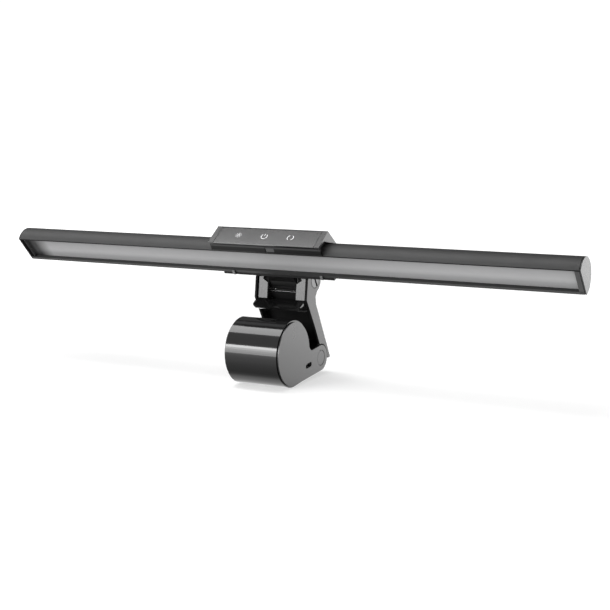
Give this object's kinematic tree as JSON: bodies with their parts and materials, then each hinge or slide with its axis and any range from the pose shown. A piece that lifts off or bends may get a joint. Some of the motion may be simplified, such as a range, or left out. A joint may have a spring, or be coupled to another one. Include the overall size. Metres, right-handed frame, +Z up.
{
  "type": "monitor light bar",
  "caption": "Screen-mounted desk lamp: a long lamp bar with touch controls on a sprung monitor clip with a counterweight pod.",
  "frame": {"origin": "centre of the hook's underside, on the face of the silicone pad that rests on the monitor's top edge", "axes": "+X along the lamp bar to the user's right, -Y towards the user, +Z up"},
  "size_m": [0.45, 0.0792, 0.1107],
  "materials": {
    "black_aluminium": "fine matte anodised black",
    "grey_satin": "satin dark grey",
    "black_gloss": "polished black",
    "black_plastic": "fine matte black",
    "panel_black": "semi-gloss dark grey",
    "frosted_diffuser": "frosted, unlit",
    "smoked_window": "smoked, semi-gloss",
    "white_reflector": "matte white",
    "circuit_board": "solder mask",
    "silicone": "soft matte",
    "dark_steel": "dark turned steel",
    "bright_steel": "plated sheet",
    "spring_steel": "drawn wire",
    "bronze_washer": "plain bronze",
    "cast_weight": "as turned"
  },
  "bodies": {
    "clip": {"spine": "grey_satin", "hook_block": "black_gloss", "hook_pad": "silicone", "front_plate_left": "grey_satin", "front_plate_right": "grey_satin", "block_screw_left": "dark_steel", "block_screw_right": "dark_steel", "tilt_screw": "dark_steel", "tilt_nut": "dark_steel", "friction_washer_left": "bronze_washer", "friction_washer_right": "bronze_washer", "pivot_block": "black_plastic", "pivot_screw_left": "dark_steel", "pivot_screw_right": "dark_steel", "torsion_spring": "spring_steel"},
    "lamp_head": {"bar_housing": "black_aluminium", "diffuser": "frosted_diffuser", "led_board": "circuit_board", "reflector_upper": "white_reflector", "reflector_lower": "white_reflector", "end_plug_left": "black_plastic", "end_plug_right": "black_plastic", "end_cap_left": "grey_satin", "end_cap_right": "grey_satin", "control_housing": "grey_satin", "touch_panel": "panel_black", "touch_board": "circuit_board", "control_base": "black_plastic", "sensor_window": "smoked_window", "saddle": "black_plastic", "saddle_screw_left": "dark_steel", "saddle_screw_right": "dark_steel"},
    "pod": {"pivot_pin": "dark_steel", "pivot_cap_left": "grey_satin", "pivot_cap_right": "grey_satin", "pod_shell": "black_gloss", "side_plate_left": "grey_satin", "side_plate_right": "grey_satin", "counterweight": "cast_weight", "usb_socket": "bright_steel", "power_board": "circuit_board"}
  },
  "joints": [
    {"name": "bar_tilt", "type": "hinge", "parent": "clip", "child": "lamp_head", "pos_m": [0, 0.0066, 0.0221], "axis": [1, 0, 0], "range_deg": [-30, 10]},
    {"name": "pod_swing", "type": "hinge", "parent": "clip", "child": "pod", "pos_m": [0, 0.0143, -0.0365], "axis": [1, 0, 0], "range_deg": [0, 95], "stiffness_Nm_per_rad": 0.12, "springref_deg": -91.67}
  ]
}
